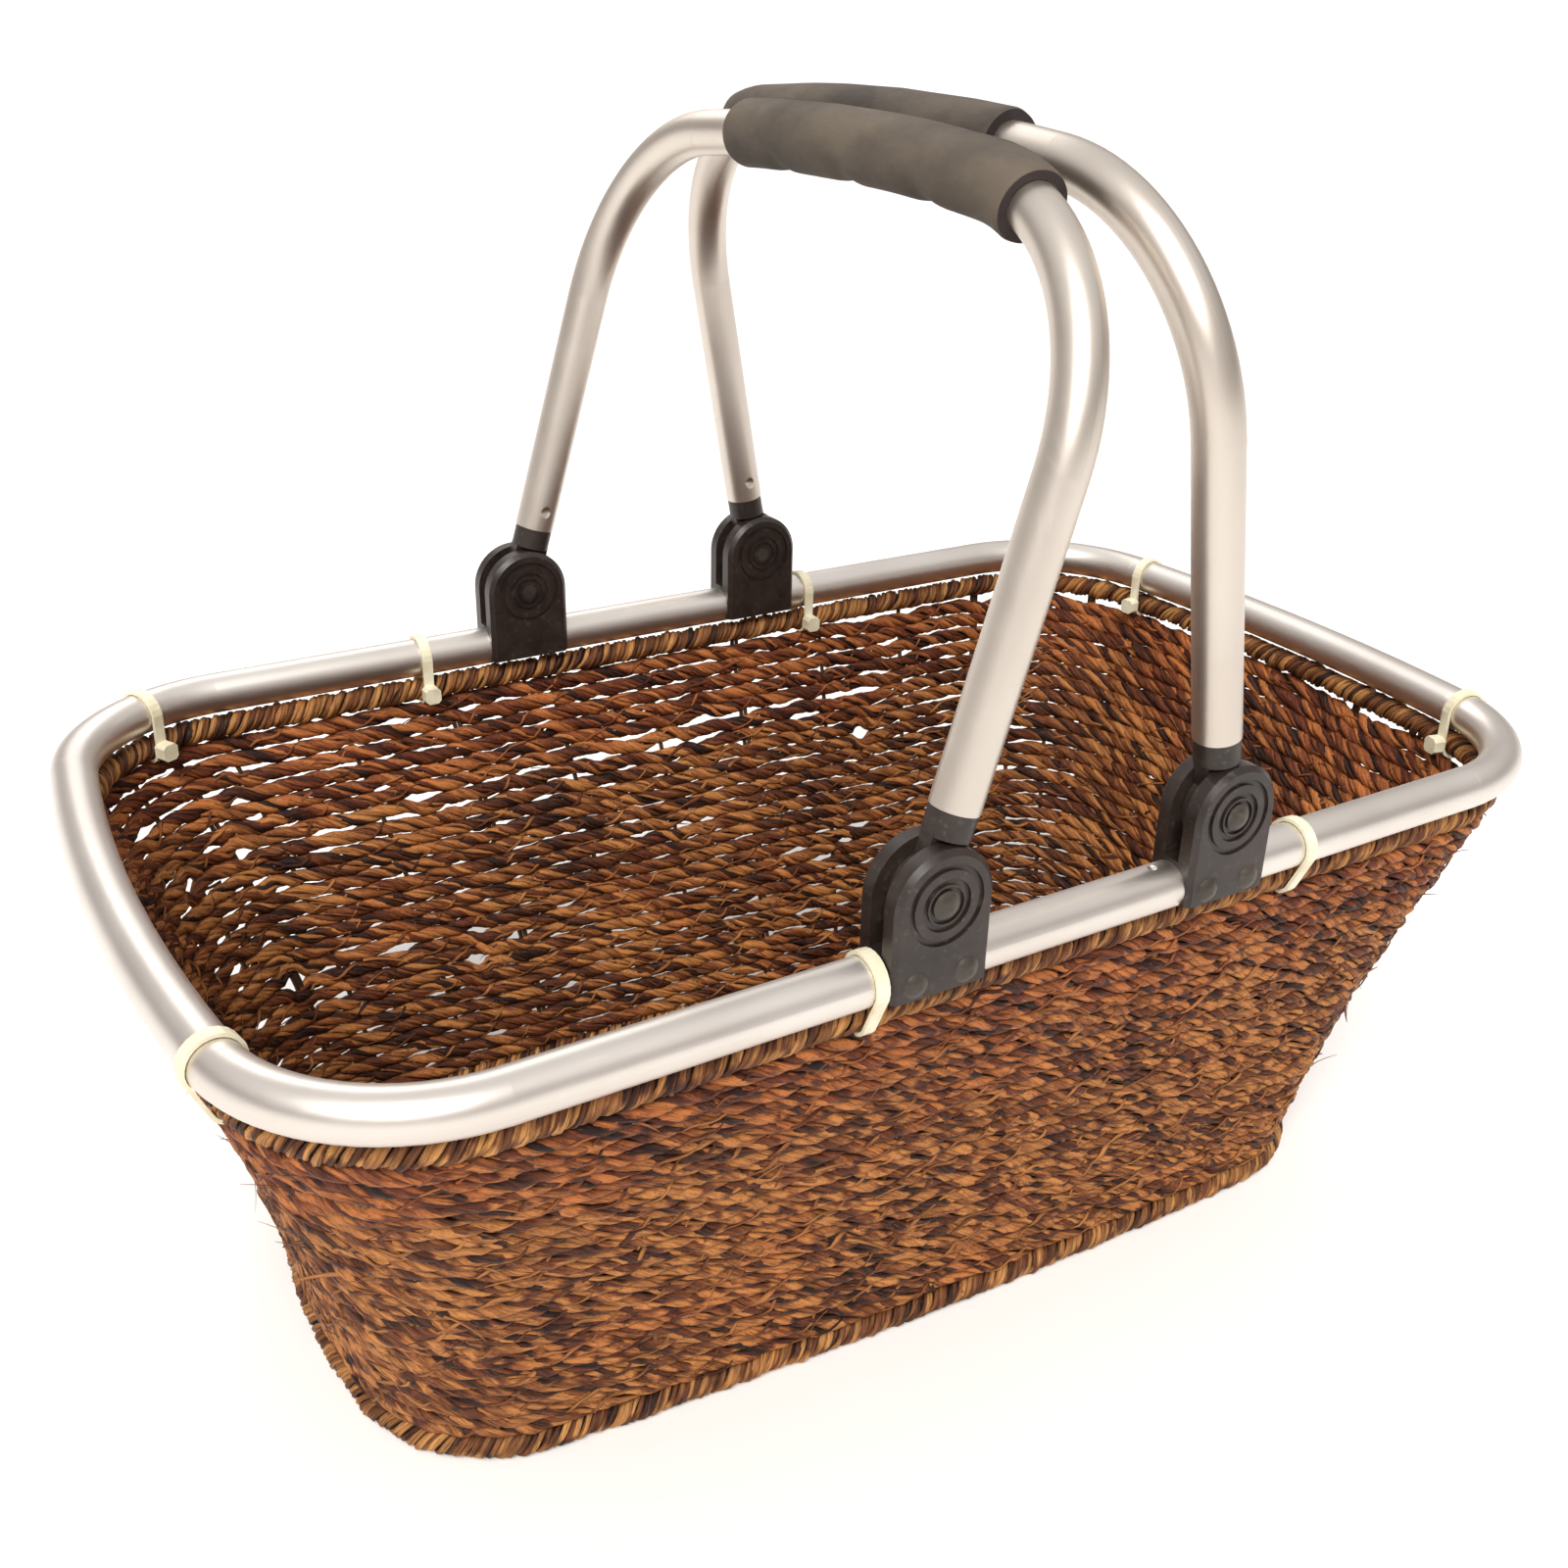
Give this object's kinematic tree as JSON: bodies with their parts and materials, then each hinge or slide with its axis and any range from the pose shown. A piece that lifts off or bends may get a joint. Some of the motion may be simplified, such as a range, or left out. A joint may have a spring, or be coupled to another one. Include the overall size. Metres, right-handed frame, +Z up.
{
  "type": "shopping basket",
  "caption": "Open woven seagrass shopping basket hung inside a round aluminium rim, with folding carrying handles and foam grips on black hinge brackets.",
  "frame": {"origin": "centre of the base on the floor, under the middle of the rim", "axes": "+X along the basket towards its right-hand short end, +Y to the rear long side, +Z up"},
  "size_m": [0.5018, 0.3072, 0.4032],
  "materials": {
    "rim_aluminium": "satin anodised tube",
    "handle_aluminium": "satin anodised tube",
    "hidden_metal": "plain, unseen inside the rim",
    "bracket_plastic": "moulded, semi-matt black",
    "rivet_plastic": "semi-matt black",
    "pin_plastic": "semi-matt black",
    "fitting_plastic": "moulded, semi-matt black",
    "grip_foam": "matt closed-cell foam",
    "tie_nylon": "natural nylon, slightly clear",
    "hoop_wire": "drawn wire",
    "wrap_seagrass": "dried seagrass strands",
    "stake_reed": "dried reed",
    "wall_seagrass": "twisted dried seagrass rope",
    "base_seagrass": "twisted dried seagrass rope"
  },
  "bodies": {
    "basket": {"rim_tube": "rim_aluminium", "rim_joiner": "hidden_metal", "bracket_front_left": "bracket_plastic", "bracket_front_right": "bracket_plastic", "bracket_rear_left": "bracket_plastic", "bracket_rear_right": "bracket_plastic", "bracket_rivets": "rivet_plastic", "pivot_pins": "pin_plastic", "cable_ties": "tie_nylon", "top_hoop": "hoop_wire", "top_wrap": "wrap_seagrass", "base_hoop": "hoop_wire", "base_wrap": "wrap_seagrass", "stakes": "stake_reed", "wall_weave": "wall_seagrass", "base_weave": "base_seagrass"},
    "handle_left": {"handle_tube_left": "handle_aluminium", "grip_left": "grip_foam", "end_fitting_front_left": "fitting_plastic", "end_fitting_rear_left": "fitting_plastic"},
    "handle_right": {"handle_tube_right": "handle_aluminium", "grip_right": "grip_foam", "end_fitting_front_right": "fitting_plastic", "end_fitting_rear_right": "fitting_plastic"}
  },
  "joints": [
    {"name": "left_handle_fold", "type": "hinge", "parent": "basket", "child": "handle_left", "pos_m": [-0.0547, 0, 0.2069], "axis": [0, 1, 0], "range_deg": [-107.1, 0]},
    {"name": "right_handle_fold", "type": "hinge", "parent": "basket", "child": "handle_right", "pos_m": [0.0547, 0, 0.2069], "axis": [0, 1, 0], "range_deg": [0, 101]}
  ]
}
